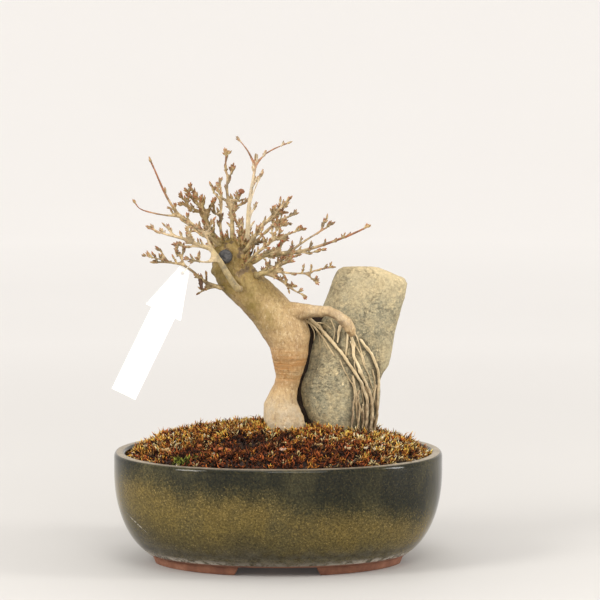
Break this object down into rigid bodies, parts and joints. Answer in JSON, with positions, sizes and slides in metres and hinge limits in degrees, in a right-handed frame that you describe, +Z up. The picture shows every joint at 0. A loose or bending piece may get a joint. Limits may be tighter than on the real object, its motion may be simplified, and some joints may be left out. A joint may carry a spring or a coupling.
{
  "type": "bonsai tree in a pot",
  "caption": "Leafless root-over-rock maple bonsai beside an upright stone, on a mossy mound in an oval glazed pot with low feet, and a blank label tied to a twig.",
  "frame": {"origin": "middle of the pot's footprint, on the surface that the feet stand on", "axes": "+Z up along the tree, +X along the pot's long way towards the stone, +Y from the tree's front to its back"},
  "size_m": [0.25, 0.2, 0.3226],
  "materials": {
    "glaze": "gloss",
    "clay": "matte",
    "soil": "matte",
    "moss": "matte",
    "rock": "matte",
    "bark": "matte",
    "root": "matte",
    "twig": "matte",
    "wound": "satin",
    "label": "matte",
    "tie": "matte",
    "screen": "matte",
    "wire": "satin"
  },
  "bodies": {
    "root": {"branch_back": "twig", "branch_back_left": "twig", "branch_back_low": "twig", "branch_back_right": "twig", "branch_far_left": "twig", "branch_front_limb": "twig", "branch_low_left": "twig", "branch_low_right": "twig", "branch_right": "twig", "branch_right_spray": "twig", "branch_tall": "twig", "branch_upper_right": "twig", "branch_upright_back": "twig", "branch_upright_centre": "twig", "branch_upright_left": "twig", "drain_screen_left": "screen", "drain_screen_right": "screen", "label": "label", "label_tie": "tie", "moss": "moss", "pot": "glaze", "pot_foot_back_left": "clay", "pot_foot_back_right": "clay", "pot_foot_front_left": "clay", "pot_foot_front_right": "clay", "rock": "rock", "root_diagonal": "root", "root_fine_left": "root", "root_fine_middle": "root", "root_fine_right": "root", "root_middle": "root", "root_right": "root", "root_short": "root", "screen_wire_left": "wire", "screen_wire_right": "wire", "soil": "soil", "trunk": "bark", "wound_seal": "wound"}
  },
  "joints": []
}
